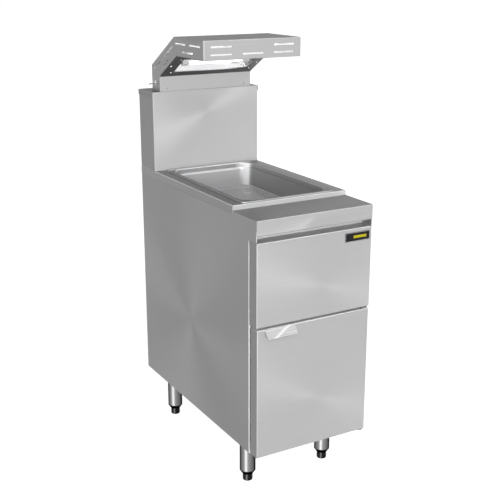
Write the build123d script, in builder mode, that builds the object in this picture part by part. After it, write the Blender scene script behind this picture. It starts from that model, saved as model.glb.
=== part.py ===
from build123d import *
import math
import os

os.makedirs("parts", exist_ok=True)

# A floor-standing chip dump in folded stainless steel: a cabinet with one door, a raised deck
# with a lift-out food pan, a splash box and a cranked lamp gantry that reaches over the pan.
# Millimetres. +X is to the right, the front faces -Y and +Z is up from the floor.
# The origin is at floor level, under the middle of the overall box.

# Overall sizes
width = 400.0
depth = 800.0
deck_height = 915.0
leg_height = 159.0

# Sheet metal
sheet = 1.2
bend = 2.5
fit = 0.3

# Front of the cabinet, from the top down
deck_step = 15.0
deck_lip = 25.0
ledge_tongue = 20.0
fascia_height = 46.0
fascia_return = 14.0
recess_height = 20.0
setback = 45.0
panel_height = 255.0
panel_side_fold = 40.0
door_gap = 7.0
door_sill_gap = 2.5
door_side_gap = 2.0
door_thickness = 37.0

# Cabinet body
side_flange = 25.0
base_lip = 25.0
rail_flange = 25.0
rail_overlap = 25.0

# Legs
leg_side_inset = 57.5
leg_front_inset = 154.0
leg_rear_inset = 107.0
leg_plate_thickness = 3.0
tube_radius = 25.4
tube_wall = 1.5
shoulder_height = 11.0
foot_radius = 16.0
foot_show = 24.0
foot_engaged = 34.0
foot_edge = 3.0
foot_retract = 18.0
foot_extend = 25.0
stud_radius = 6.0
nut_thickness = 8.0
bolt_radius = 5.0
bolt_head_height = 6.5
bolt_head_radius = 8.5
bolt_depth = 12.0

# Door furniture
pin_radius = 4.0
pin_play = 0.05
pin_length = 18.0
bush_wall = 3.0
bush_flange = 3.0
bracket_thickness = 2.5
bracket_leg = 28.0
hinge_inset = 12.0
pull_reach = 20.0
pull_width = 103.0
pull_edge_inset = 26.0
pull_top_inset = 6.0
pull_root = 5.0
pull_angle = 45.0
keeper_width = 40.0
keeper_height = 14.0
keeper_thickness = 1.0
catch_inset = 40.0
bumper_radius = 5.0
bumper_height = 40.0
liner_depth = 12.0

# Badge plate, bare
badge_width = 90.0
badge_height = 29.0
badge_thickness = 1.5
badge_side_inset = 8.0
badge_top_inset = 11.0

# Food pan, full gastronorm size
rim_width = 325.0
rim_length = 530.0
rim_height = 3.2
rim_corner = 18.0
pan_sheet = 1.0
rim_overhang = 11.0
pan_corner = 46.0
pan_depth = 100.0
pan_ledge_drop = 18.0
pan_ledge = 3.5
pan_taper = 3.0
pan_floor_radius = 20.0
pan_mouth_radius = 3.0
pan_play = 2.5
pan_front_margin = 6.0
pan_rear_margin = 9.3
aperture_collar = 12.0

# Perforated false bottom
insert_height = 22.0
insert_play = 2.0
insert_lip = 6.0
insert_sheet = 0.8
insert_foot_radius = 6.0
hole_radius = 4.0
hole_pitch = 25.0
hole_rows = 21
hole_columns = 10

# Splash box
splash_depth = 114.7
splash_top = 1180.0
splash_return = 12.0
cap_lip = 18.0
cap_overhang = 1.5

# Lamp gantry: one crank of constant thickness
gantry_side_inset = 28.0
gantry_setback = 3.0
gantry_thickness = 60.0
gantry_rise = 49.5
crank_angle = 30.0
slope_length = 153.0
hood_length = 188.0
hood_lip = 15.0
gantry_flange = 12.0
slot_length = 74.0
slot_height = 5.0
slot_edge = 20.0
slot_row_gap = 23.5
slot_first = 59.0
slot_pitch = 99.0
front_slot_pitch = 111.0
bracket_width = 30.0
bracket_upstand = 20.0

# Lamps and their troughs
lamp_offset = 4.5
trough_width = 95.0
trough_lip = 5.0
trough_depth = 24.0
trough_taper = 23.0
trough_flange = 11.0
trough_side_gap = 11.5
trough_sheet = 0.8
lamp_radius = 5.5
lamp_end_gap = 13.5
lamp_pin_radius = 3.0
lamp_pin = 6.0
lamp_depth = 11.0
holder_length = 24.0
holder_width = 16.0
holder_front = 4.0

# Toggle switch
switch_height = 27.0
switch_back = 34.0
switch_body_depth = 26.0
switch_body_width = 18.0
switch_body_height = 30.0
switch_bush_radius = 5.8
switch_bush_reach = 9.0
switch_nut = 8.0
switch_nut_thickness = 3.0
lever_reach = 20.0
lever_ball = 3.0
lever_neck = 1.6
lever_tip = 2.4
lever_tilt = 11.0

# Wiring
box_width = 100.0
box_depth = 85.0
box_height = 110.0
box_sheet = 1.5
box_side_inset = 30.0
conduit_radius = 8.0
conduit_wall = 1.2
conduit_side = 125.0
conduit_rise = 12.0
gland_radius = 11.0
gland_bore = 4.0
gland_length = 22.0

# Places worked out from the sizes above
front = -(depth + cap_overhang - pull_reach) / 2
rear = front + depth
half = width / 2
inside = half - bend
carcass = front + setback
rail_face = carcass + sheet
ledge_depth = depth - splash_depth - pan_rear_margin - rim_length - pan_front_margin
deck_front = front + ledge_depth
ledge_z = deck_height - deck_step
lip_z = deck_height - deck_lip
fascia_bottom = ledge_z - fascia_height
recess_floor = fascia_bottom - recess_height
panel_bottom = recess_floor - panel_height
door_top = panel_bottom - door_gap
door_bottom = leg_height + door_sill_gap
door_half = half - door_side_gap
door_back = front + door_thickness
base_z = leg_height + sheet
base_top = base_z + sheet
back_inner = rear - 2 * sheet
box_back = back_inner - bend - fit
leg_x = half - leg_side_inset
legs = {
    "front_left": (-leg_x, front + leg_front_inset),
    "front_right": (leg_x, front + leg_front_inset),
    "rear_left": (-leg_x, rear - leg_rear_inset),
    "rear_right": (leg_x, rear - leg_rear_inset),
}
hinge_x = door_half - hinge_inset
hinge_y = front + hinge_inset
pan_centre = deck_front + pan_front_margin + rim_length / 2
rim_top = deck_height + rim_height
pan_width = rim_width - 2 * rim_overhang
pan_length = rim_length - 2 * rim_overhang
splash_y = rear - splash_depth
gantry_y = splash_y + gantry_setback
gantry_half = half - gantry_side_inset
gantry_width = 2 * gantry_half
trough_length = gantry_width - 2 * (gantry_flange + trough_flange + trough_side_gap)
lamp_length = trough_length - 2 * (holder_length + lamp_end_gap)


def save(builder, name):
    """Label a finished piece and write it."""
    builder.part.label = name
    export_step(builder.part, f"parts/{name}.step")


def folded_section(*points):
    """Section of a folded sheet: an outer line, rounded at its folds, thickened to its left."""
    with BuildSketch() as section:
        with BuildLine():
            FilletPolyline(*points, radius=bend)
            offset(amount=sheet, side=Side.LEFT)
        make_face()
    return section.sketch_local


# Side panels: a tray folded inwards on every edge, with a nose that reaches the fascia
side_outline = (
    (rear, leg_height),
    (carcass, leg_height),
    (carcass, recess_floor),
    (front + sheet, recess_floor),
    (front + sheet, ledge_z - sheet),
    (deck_front, ledge_z - sheet),
    (deck_front, lip_z),
    (rear, lip_z),
)
with BuildPart() as side_panel_left:
    with BuildSketch(Plane.YZ.offset(-half)):
        with BuildLine():
            Polyline(*side_outline, close=True)
        make_face()
    extrude(amount=side_flange)
    fillet(side_panel_left.edges().filter_by(Axis.X).group_by(Axis.Y)[0], radius=bend)
    fillet(side_panel_left.faces().sort_by(Axis.X)[0].edges(), radius=bend)
    offset(amount=-sheet, openings=side_panel_left.faces().sort_by(Axis.X)[-1])
    with BuildSketch(Plane.YZ.offset(sheet - half)):
        with Locations((front, recess_floor)):
            Rectangle(setback, recess_height + bend, align=Align.MIN)
    extrude(amount=side_flange, mode=Mode.SUBTRACT)
save(side_panel_left, "side_panel_left")

with BuildPart() as side_panel_right:
    add(mirror(side_panel_left.part, about=Plane.YZ))
save(side_panel_right, "side_panel_right")

# Rear panel, screwed inside the rear flanges
with BuildPart() as rear_panel:
    with BuildSketch(Plane.XZ.offset(-back_inner)):
        with Locations((0, (base_z + lip_z - sheet) / 2)):
            Rectangle(2 * inside, lip_z - sheet - base_z - 2 * fit)
    extrude(amount=-sheet)
save(rear_panel, "rear_panel")

# Base: the cabinet floor, a tray on the side panels' bottom flanges
gland_x = box_side_inset + box_width / 2 - half
gland_y = box_back - box_depth / 2
with BuildPart() as base_panel:
    with BuildSketch(Plane.XY.offset(base_z)):
        with Locations((0, (rail_face + back_inner) / 2)):
            Rectangle(2 * inside, back_inner - rail_face)
    extrude(amount=base_lip)
    upright_edges = base_panel.edges().filter_by(Axis.Z)
    fillet(base_panel.faces().sort_by(Axis.Z)[0].edges() + upright_edges, radius=bend)
    offset(amount=-sheet, openings=base_panel.faces().sort_by(Axis.Z)[-1])
    with BuildSketch(Plane.XY.offset(base_z)):
        with Locations(*legs.values()):
            Circle(bolt_radius + fit)
        with Locations((gland_x, gland_y)):
            Circle(gland_radius + fit)
    extrude(amount=sheet, mode=Mode.SUBTRACT)
save(base_panel, "base_panel")


# Rails across the front, behind the recess and behind the gap over the door
def front_rail(bottom, top):
    """Channel open to the rear, between the side panels."""
    back = rail_face + rail_flange
    with BuildPart() as rail:
        with BuildSketch(Plane.YZ.offset(-inside)):
            add(folded_section((back, top), (rail_face, top), (rail_face, bottom), (back, bottom)))
        extrude(amount=2 * inside)
    return rail


save(front_rail(recess_floor - rail_overlap, ledge_z - 2 * sheet), "front_rail_upper")
save(front_rail(door_top - rail_overlap, panel_bottom + rail_overlap), "front_rail_middle")

# Ledge: front shelf, fascia and its return, with a narrower tongue under the raised deck
with BuildPart() as ledge_panel:
    with BuildSketch(Plane.YZ.offset(-half)):
        add(
            folded_section(
                (deck_front + ledge_tongue, ledge_z),
                (front, ledge_z),
                (front, fascia_bottom),
                (front + fascia_return, fascia_bottom),
            )
        )
    extrude(amount=width)
    with BuildSketch(Plane.XY.offset(ledge_z)):
        with Locations((0, deck_front + ledge_tongue / 2)):
            Rectangle(width, ledge_tongue)
            Rectangle(2 * inside, ledge_tongue, mode=Mode.SUBTRACT)
    extrude(amount=-sheet, mode=Mode.SUBTRACT)
    with BuildSketch(Plane.XY.offset(fascia_bottom)):
        with Locations((0, front + sheet + fascia_return / 2)):
            Rectangle(width, fascia_return)
            Rectangle(2 * inside, fascia_return, mode=Mode.SUBTRACT)
    extrude(amount=bend, mode=Mode.SUBTRACT)
save(ledge_panel, "ledge_panel")

# Raised deck: an inverted tray, with the pan aperture and its collar
conduit_y = box_back - box_depth + box_sheet + fit + conduit_radius
aperture = (pan_width + 2 * pan_play, pan_length + 2 * pan_play)
aperture_corner = pan_corner + pan_play
with BuildPart() as deck_panel:
    with BuildSketch(Plane.XY.offset(lip_z)):
        with Locations((0, (deck_front + rear) / 2)):
            Rectangle(width, rear - deck_front)
    extrude(amount=deck_lip)
    fillet(deck_panel.faces().sort_by(Axis.Z)[-1].edges(), radius=bend)
    offset(amount=-sheet, openings=deck_panel.faces().sort_by(Axis.Z)[0])
    with BuildSketch(Plane.XY.offset(lip_z)):
        with Locations((0, deck_front + sheet / 2)):
            Rectangle(width - 2 * sheet, sheet)
    extrude(amount=deck_lip - deck_step, mode=Mode.SUBTRACT)
    with BuildSketch(Plane.XY.offset(deck_height)):
        with Locations((0, pan_centre)):
            RectangleRounded(
                aperture[0] + 2 * sheet,
                aperture[1] + 2 * sheet,
                aperture_corner + sheet,
            )
    extrude(amount=-aperture_collar)
    with BuildSketch(Plane.XY.offset(deck_height)):
        with Locations((0, pan_centre)):
            RectangleRounded(*aperture, aperture_corner)
        with Locations((-conduit_side, conduit_y)):
            Circle(conduit_radius + fit)
    extrude(amount=-aperture_collar, mode=Mode.SUBTRACT)
save(deck_panel, "deck_panel")

# Fixed front panel: its top and bottom folds reach back to the carcass, its sides stop short
with BuildPart() as front_panel:
    with BuildSketch(Plane.XZ.offset(-front)):
        with Locations((0, (panel_bottom + recess_floor) / 2)):
            Rectangle(width - 2 * fit, panel_height)
    extrude(amount=-setback)
    fillet(front_panel.faces().sort_by(Axis.Y)[0].edges(), radius=bend)
    offset(amount=-sheet, openings=front_panel.faces().sort_by(Axis.Y)[-1])
    with BuildSketch(Plane.XZ.offset(-carcass)):
        with Locations((0, (panel_bottom + recess_floor) / 2)):
            Rectangle(width, panel_height - 2 * sheet)
    extrude(amount=setback - panel_side_fold, mode=Mode.SUBTRACT)
save(front_panel, "front_panel")

# Badge plate, bare, at the front panel's upper right
badge_x = half - badge_side_inset - badge_width / 2
badge_z = recess_floor - badge_top_inset - badge_height / 2
with BuildPart() as badge_plate:
    with BuildSketch(Plane.XZ.offset(-front)):
        with Locations((badge_x, badge_z)):
            RectangleRounded(badge_width, badge_height, badge_thickness)
    extrude(amount=badge_thickness)
    chamfer(badge_plate.faces().sort_by(Axis.Y)[0].edges(), length=badge_thickness / 3)
save(badge_plate, "badge_plate")

# Legs: swaged tube, and a foot that screws in and out of it
tube_top = base_z - leg_plate_thickness
tube_bore = tube_radius - tube_wall
foot_bore = foot_radius + fit
foot_top = foot_show + foot_engaged
nut_z = foot_top + foot_retract + 4 * fit
stud_top = nut_z + nut_thickness + foot_extend
tube_shoulder = foot_show + shoulder_height
plate_side = 2 * (half - side_flange - leg_x - fit)


def upright(x, y):
    """Plane through a vertical axis, for profiles drawn as radius and height."""
    return Plane(origin=(x, y, 0), x_dir=(1, 0, 0), z_dir=(0, -1, 0))


for corner, (x, y) in legs.items():
    with BuildPart() as leg_plate:
        with BuildSketch(Plane.XY.offset(tube_top)):
            with Locations((x, y)):
                RectangleRounded(plate_side, plate_side, leg_plate_thickness)
                Circle(bolt_radius + fit, mode=Mode.SUBTRACT)
        extrude(amount=leg_plate_thickness)
    save(leg_plate, f"leg_plate_{corner}")

    with BuildPart() as leg_tube:
        with BuildSketch(upright(x, y)):
            with BuildLine():
                Polyline(
                    (foot_bore, foot_show),
                    (foot_bore + tube_wall, foot_show),
                    (tube_radius, tube_shoulder),
                    (tube_radius, tube_top),
                    (bolt_radius + fit, tube_top),
                    (bolt_radius + fit, tube_top - leg_plate_thickness),
                    (tube_bore, tube_top - leg_plate_thickness),
                    (tube_bore, nut_z + nut_thickness),
                    (stud_radius + fit, nut_z + nut_thickness),
                    (stud_radius + fit, nut_z),
                    (tube_bore, nut_z),
                    (tube_bore, tube_shoulder + tube_wall),
                    (foot_bore, foot_show + 2 * tube_wall),
                    close=True,
                )
            make_face()
        revolve(axis=Axis((x, y, 0), (0, 0, 1)))
    save(leg_tube, f"leg_tube_{corner}")

    with BuildPart() as leg_foot:
        with BuildSketch(upright(x, y)) as foot_half:
            with BuildLine():
                Polyline(
                    (0, 0),
                    (foot_radius, 0),
                    (foot_radius, foot_top),
                    (stud_radius, foot_top),
                    (stud_radius, stud_top),
                    (0, stud_top),
                    close=True,
                )
            make_face()
            fillet(foot_half.vertices().sort_by(Axis.Y)[:2].sort_by(Axis.X)[-1:], radius=foot_edge)
        revolve(axis=Axis((x, y, 0), (0, 0, 1)))
    save(leg_foot, f"leg_foot_{corner}")

with BuildPart() as leg_bolts:
    with BuildSketch(Plane.XY.offset(tube_top - bolt_depth)):
        with Locations(*legs.values()):
            Circle(bolt_radius)
    extrude(amount=base_top - tube_top + bolt_depth)
    with BuildSketch(Plane.XY.offset(base_top)):
        with Locations(*legs.values()):
            RegularPolygon(bolt_head_radius, 6)
    extrude(amount=bolt_head_height)
save(leg_bolts, "leg_bolts")

# Hinge hardware on the carcass: an angle bracket with its pin, above and below the door
bush_radius = pin_radius + pin_play + bush_wall
flange_thickness = (door_gap - bracket_thickness) / 2 - fit
sleeve_length = pin_length - bracket_thickness
upper_plate = door_top + (door_gap - bracket_thickness) / 2
lower_plate = door_bottom - (door_gap - bracket_thickness) / 2 - bracket_thickness


def hinge_bracket(plate_z, leg_top):
    """Angle bracket: a plate with a round nose at the pin, and a leg on the carcass face."""
    with BuildPart() as bracket:
        with BuildSketch(Plane.XY.offset(plate_z)):
            with Locations((hinge_x, hinge_y)):
                Circle(hinge_inset - fit)
            with Locations((hinge_x, (hinge_y + carcass) / 2)):
                Rectangle(2 * (hinge_inset - fit), carcass - hinge_y)
        extrude(amount=bracket_thickness)
        with BuildSketch(Plane.XY.offset(leg_top - bracket_leg)):
            with Locations((hinge_x, carcass - bracket_thickness / 2)):
                Rectangle(2 * (hinge_inset - fit), bracket_thickness)
        extrude(amount=bracket_leg)
        with BuildSketch(Plane.XY.offset(plate_z)):
            with Locations((hinge_x, hinge_y)):
                Circle(pin_radius + pin_play)
        extrude(amount=bracket_thickness, mode=Mode.SUBTRACT)
    return bracket


def hinge_pin(bottom, head_bottom):
    """Pin with a thin head on the far side of its bracket."""
    with BuildPart() as pin:
        with BuildSketch(Plane.XY.offset(bottom)):
            with Locations((hinge_x, hinge_y)):
                Circle(pin_radius)
        extrude(amount=pin_length)
        with BuildSketch(Plane.XY.offset(head_bottom)):
            with Locations((hinge_x, hinge_y)):
                Circle(pin_radius + sheet)
        extrude(amount=sheet)
    return pin


def hinge_bush(flange_bottom, sleeve_bottom):
    """Flanged bush: the flange spaces the door from the bracket."""
    with BuildPart() as bush:
        with BuildSketch(Plane.XY.offset(sleeve_bottom)):
            with Locations((hinge_x, hinge_y)):
                Circle(bush_radius)
        extrude(amount=sleeve_length)
        with BuildSketch(Plane.XY.offset(flange_bottom)):
            with Locations((hinge_x, hinge_y)):
                Circle(bush_radius + bush_flange)
        extrude(amount=flange_thickness)
        with Locations((hinge_x, hinge_y, (flange_bottom + sleeve_bottom) / 2)):
            Hole(pin_radius + pin_play)
    return bush


save(hinge_bracket(upper_plate, upper_plate + bracket_thickness), "hinge_bracket_upper")
save(hinge_bracket(lower_plate, lower_plate + bracket_leg), "hinge_bracket_lower")
save(
    hinge_pin(upper_plate + bracket_thickness - pin_length, upper_plate + bracket_thickness),
    "hinge_pin_upper",
)
save(hinge_pin(lower_plate, lower_plate - sheet), "hinge_pin_lower")
save(hinge_bush(door_top, door_top - sleeve_length), "door_bush_upper")
save(hinge_bush(door_bottom - flange_thickness, door_bottom), "door_bush_lower")

# Door: outer skin folded back on four sides, closed by a liner
door_height = door_top - door_bottom
door_mid = (door_top + door_bottom) / 2
with BuildPart() as door_skin:
    with BuildSketch(Plane.XZ.offset(-front)):
        with Locations((0, door_mid)):
            Rectangle(2 * door_half, door_height)
    extrude(amount=-door_thickness)
    fillet(door_skin.faces().sort_by(Axis.Y)[0].edges(), radius=bend)
    offset(amount=-sheet, openings=door_skin.faces().sort_by(Axis.Y)[-1])
    with BuildSketch(Plane.XY.offset(door_bottom)):
        with Locations((hinge_x, hinge_y)):
            Circle(bush_radius + pin_play)
    extrude(amount=door_height, mode=Mode.SUBTRACT)
save(door_skin, "door_skin")

with BuildPart() as door_liner:
    with BuildSketch(Plane.XZ.offset(-door_back)):
        with Locations((0, door_mid)):
            Rectangle(2 * (door_half - sheet - fit), door_height - 2 * (sheet + fit))
    extrude(amount=liner_depth)
    fillet(door_liner.faces().sort_by(Axis.Y)[-1].edges(), radius=bend)
    offset(amount=-sheet, openings=door_liner.faces().sort_by(Axis.Y)[0])
save(door_liner, "door_liner")

# Door pull: a tab on the skin that leans out and down
pull_x = pull_edge_inset + pull_width / 2 - door_half
pull_root_z = door_top - pull_top_inset
pull_slope = math.radians(pull_angle)
pull_run = pull_reach - sheet * math.cos(pull_slope)
with BuildPart() as door_pull:
    with BuildSketch(Plane.YZ.offset(pull_x - pull_width / 2)):
        with BuildLine():
            FilletPolyline(
                (front, pull_root_z + pull_root),
                (front, pull_root_z),
                (front - pull_run, pull_root_z - pull_run / math.tan(pull_slope)),
                radius=bend,
            )
            offset(amount=sheet, side=Side.RIGHT)
        make_face()
    extrude(amount=pull_width)
save(door_pull, "door_pull")

# Magnet catch on the middle rail, its keeper on the liner, and two rubber bumpers
catch_x = catch_inset + keeper_width / 2 - half
catch_z = door_top - rail_overlap / 2
with BuildPart() as door_keeper:
    with BuildSketch(Plane.XZ.offset(-door_back)):
        with Locations((catch_x, catch_z)):
            RectangleRounded(keeper_width, keeper_height, keeper_thickness)
    extrude(amount=-keeper_thickness)
save(door_keeper, "door_keeper")

catch_face = door_back + keeper_thickness + fit
with BuildPart() as magnet_catch:
    with BuildSketch(Plane.XZ.offset(-catch_face)):
        with Locations((catch_x, catch_z)):
            RectangleRounded(keeper_width, keeper_height, keeper_thickness)
    extrude(amount=catch_face - rail_face)
save(magnet_catch, "magnet_catch")

bumper_face = door_back + fit
with BuildPart() as door_bumpers:
    with BuildSketch(Plane.XZ.offset(-bumper_face)):
        with Locations(
            (side_flange / 2 - half, door_bottom + bumper_height),
            (side_flange / 2 - half, door_top - bumper_height),
        ):
            Circle(bumper_radius)
    extrude(amount=bumper_face - carcass)
save(door_bumpers, "door_bumpers")

# Food pan: one pressing with a rolled rim, a stacking ledge, tapered walls and soft corners
ledge_level = rim_top - pan_ledge_drop
pan_bottom = rim_top - pan_depth


def pan_body(skin):
    """The pan's walls and floor as a closed body, drawn in from the outside by a skin."""
    upper = (pan_width - 2 * skin, pan_length - 2 * skin)
    lower = (upper[0] - 2 * pan_ledge, upper[1] - 2 * pan_ledge)
    with BuildPart() as body:
        with BuildSketch(Plane.XY.offset(rim_top)):
            with Locations((0, pan_centre)):
                RectangleRounded(*upper, pan_corner - skin)
        extrude(amount=-(pan_ledge_drop - skin))
        with BuildSketch(Plane.XY.offset(ledge_level + skin)):
            with Locations((0, pan_centre)):
                RectangleRounded(*lower, pan_corner - pan_ledge - skin)
        extrude(amount=-(pan_depth - pan_ledge_drop), taper=pan_taper)
        fillet(body.faces().sort_by(Axis.Z)[0].edges(), radius=pan_floor_radius - skin)
    return body.part


with BuildPart() as food_pan:
    add(pan_body(0))
    with BuildSketch(Plane.XY.offset(rim_top)):
        with Locations((0, pan_centre)):
            RectangleRounded(rim_width, rim_length, rim_corner)
    extrude(amount=-pan_sheet)
    under_rim = food_pan.faces().filter_by(Plane.XY).group_by(Axis.Z)[-2][0]
    fillet(under_rim.inner_wires()[0].edges(), radius=pan_mouth_radius)
    with BuildSketch(Plane.XY.offset(deck_height)):
        with Locations((0, pan_centre)):
            RectangleRounded(rim_width, rim_length, rim_corner)
            RectangleRounded(
                rim_width - 2 * pan_sheet,
                rim_length - 2 * pan_sheet,
                rim_corner - pan_sheet,
                mode=Mode.SUBTRACT,
            )
    extrude(amount=rim_height)
    add(pan_body(pan_sheet), mode=Mode.SUBTRACT)
    mouth = food_pan.faces().sort_by(Axis.Z)[-1]
    fillet(mouth.inner_wires()[0].edges(), radius=pan_mouth_radius + pan_sheet)
    fillet(food_pan.faces().sort_by(Axis.Z)[-1].outer_wire().edges(), radius=pan_sheet)
save(food_pan, "food_pan")

# False bottom: a perforated plate on four formed feet, just clear of the pan's walls
floor_top = pan_bottom + pan_sheet
insert_top = floor_top + insert_height
wall_run = (ledge_level - insert_top) * math.tan(math.radians(pan_taper))
insert_cut = 2 * (pan_sheet + pan_ledge + wall_run + insert_play)
insert_size = (pan_width - insert_cut, pan_length - insert_cut)
insert_corner = pan_corner - pan_sheet - pan_ledge - insert_play
with BuildPart() as pan_insert:
    with BuildSketch(Plane.XY.offset(insert_top)):
        with Locations((0, pan_centre)):
            RectangleRounded(*insert_size, insert_corner)
    extrude(amount=-insert_lip)
    fillet(pan_insert.faces().sort_by(Axis.Z)[-1].edges(), radius=bend)
    offset(amount=-insert_sheet, openings=pan_insert.faces().sort_by(Axis.Z)[0])
    with BuildSketch(Plane.XY.offset(insert_top)):
        with Locations((0, pan_centre)):
            with HexLocations(hole_pitch / 2, hole_columns, hole_rows):
                RegularPolygon(hole_radius, 6)
    extrude(amount=-insert_sheet, mode=Mode.SUBTRACT)
    with BuildSketch(Plane.XY.offset(floor_top)):
        with Locations((0, pan_centre)):
            with GridLocations(insert_size[0] / 2, insert_size[1] / 2, 2, 2):
                Circle(insert_foot_radius)
    extrude(amount=insert_height)
save(pan_insert, "pan_insert")

# Splash box: front and sides in one fold, a rear panel inside its returns, and a cap
splash_inner_top = splash_top - sheet
with BuildPart() as splash_wrap:
    with BuildSketch(Plane.XY.offset(deck_height)):
        add(
            folded_section(
                (splash_return - half, rear),
                (-half, rear),
                (-half, splash_y),
                (half, splash_y),
                (half, rear),
                (half - splash_return, rear),
            )
        )
    extrude(amount=splash_inner_top - deck_height)
save(splash_wrap, "splash_wrap")

with BuildPart() as splash_rear:
    with BuildSketch(Plane.XZ.offset(-back_inner)):
        with Locations((0, (deck_height + splash_inner_top) / 2)):
            Rectangle(2 * inside, splash_inner_top - deck_height)
    extrude(amount=-sheet)
save(splash_rear, "splash_rear")

cap_front = splash_y - bend
with BuildPart() as splash_cap:
    with BuildSketch(Plane.XY.offset(splash_top - cap_lip)):
        with Locations((0, (cap_front + rear + cap_overhang) / 2)):
            Rectangle(width + 2 * cap_overhang, rear + cap_overhang - cap_front)
    extrude(amount=cap_lip)
    top_edges = splash_cap.faces().sort_by(Axis.Z)[-1].edges()
    upright_edges = splash_cap.edges().filter_by(Axis.Z).sort_by(Axis.Y)[-2:]
    fillet(top_edges.sort_by(Axis.Y)[1:] + upright_edges, radius=sheet + fit)
    offset(amount=-sheet, openings=splash_cap.faces().sort_by(Axis.Z)[0])
    split(bisect_by=Plane.XZ.offset(-splash_y), keep=Keep.BOTTOM)
    with BuildSketch(Plane.XY.offset(splash_top)):
        with Locations((-conduit_side, conduit_y)):
            Circle(conduit_radius + fit)
    extrude(amount=-sheet, mode=Mode.SUBTRACT)
save(splash_cap, "splash_cap")

# Gantry crank, in the YZ plane: the inner line, and the outer line one thickness away
crank = math.radians(crank_angle)
base_turn = (math.pi / 2 - crank) / 2
inner_foot = (gantry_y, splash_top)
inner_knee = (gantry_y, splash_top + gantry_rise)
inner_elbow = (
    inner_knee[0] - slope_length * math.cos(crank),
    inner_knee[1] + slope_length * math.sin(crank),
)
hood_bottom = (inner_elbow[0] - hood_length, inner_elbow[1])
hood_top = (hood_bottom[0], hood_bottom[1] + gantry_thickness)
outer_elbow = (
    inner_elbow[0] + gantry_thickness * math.tan(crank / 2),
    inner_elbow[1] + gantry_thickness,
)
outer_knee = (
    gantry_y + gantry_thickness,
    inner_knee[1] + gantry_thickness * math.tan(base_turn),
)
outer_foot = (gantry_y + gantry_thickness, splash_top)
slope_mouth = Plane(
    origin=(
        lamp_offset,
        (inner_knee[0] + inner_elbow[0]) / 2,
        (inner_knee[1] + inner_elbow[1]) / 2,
    ),
    x_dir=(1, 0, 0),
    z_dir=(0, math.sin(crank), math.cos(crank)),
)
hood_mouth = Plane(
    origin=(lamp_offset, (hood_bottom[0] + inner_elbow[0]) / 2, hood_bottom[1]),
    x_dir=(1, 0, 0),
    z_dir=(0, 0, 1),
)

# Gantry cover: back, slope, top, slotted front and a short return, in one fold
slot_row_top = hood_top[1] - slot_edge
slot_row_low = slot_row_top - slot_row_gap
with BuildPart() as gantry_cover:
    with BuildSketch(Plane.YZ.offset(-gantry_half)):
        add(
            folded_section(
                outer_foot,
                outer_knee,
                outer_elbow,
                hood_top,
                hood_bottom,
                (hood_bottom[0] + hood_lip, hood_bottom[1]),
            )
        )
    extrude(amount=gantry_width)
    with BuildSketch(Plane.XZ.offset(-hood_top[0])):
        with Locations(
            (-front_slot_pitch, slot_row_top),
            (front_slot_pitch, slot_row_top),
            (-front_slot_pitch, slot_row_low),
            (0, slot_row_low),
            (front_slot_pitch, slot_row_low),
        ):
            SlotOverall(slot_length, slot_height)
    extrude(amount=-sheet, mode=Mode.SUBTRACT)
save(gantry_cover, "gantry_cover")

# Gantry lining: underside, slope and base front in one fold, with the two lamp openings
with BuildPart() as gantry_lining:
    with BuildSketch(Plane.YZ.offset(-gantry_half)):
        add(
            folded_section(
                (hood_bottom[0] + hood_lip + fit, hood_bottom[1]),
                inner_elbow,
                inner_knee,
                inner_foot,
            )
        )
    extrude(amount=gantry_width)
    with BuildSketch(slope_mouth, hood_mouth):
        Rectangle(trough_length, trough_width)
    extrude(amount=sheet, mode=Mode.SUBTRACT)
save(gantry_lining, "gantry_lining")

# Gantry sides: trays that fill the crank, slotted over the hood and over the slope
hood_run = Plane(
    origin=(-gantry_half, *hood_top),
    x_dir=(0, 1, 0),
    z_dir=(-1, 0, 0),
)
slope_run = Plane(
    origin=(-gantry_half, *outer_elbow),
    x_dir=(0, math.cos(crank), -math.sin(crank)),
    z_dir=(-1, 0, 0),
)
side_slots = (
    (slot_first, slot_edge),
    (slot_first + slot_pitch, slot_edge),
    (slot_first + slot_pitch / 2, slot_edge + slot_row_gap),
)
switch_at = (gantry_y + switch_back, splash_top + switch_height)


def gantry_side():
    """Left gantry side, before its switch hole."""
    with BuildPart() as side:
        with BuildSketch(Plane.YZ.offset(-gantry_half)):
            with BuildLine():
                FilletPolyline(
                    (inner_foot[0], splash_top - gantry_thickness),
                    inner_knee,
                    inner_elbow,
                    hood_bottom,
                    hood_top,
                    outer_elbow,
                    outer_knee,
                    (outer_foot[0], splash_top - gantry_thickness),
                    radius=bend,
                    close=True,
                )
            make_face()
            offset(amount=-(sheet + fit))
        extrude(amount=gantry_flange)
        offset(amount=-sheet, openings=side.faces().sort_by(Axis.X)[-1])
        split(bisect_by=Plane.XY.offset(splash_top), keep=Keep.TOP)
        with BuildSketch(hood_run, slope_run):
            with Locations(*side_slots):
                SlotOverall(slot_length, slot_height)
        extrude(amount=-sheet, mode=Mode.SUBTRACT)
    return side.part


with BuildPart() as gantry_side_left:
    add(gantry_side())
    with BuildSketch(Plane.YZ.offset(-gantry_half)):
        with Locations(switch_at):
            Circle(switch_bush_radius + fit)
    extrude(amount=sheet, mode=Mode.SUBTRACT)
save(gantry_side_left, "gantry_side_left")

with BuildPart() as gantry_side_right:
    add(mirror(gantry_side(), about=Plane.YZ))
save(gantry_side_right, "gantry_side_right")

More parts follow.
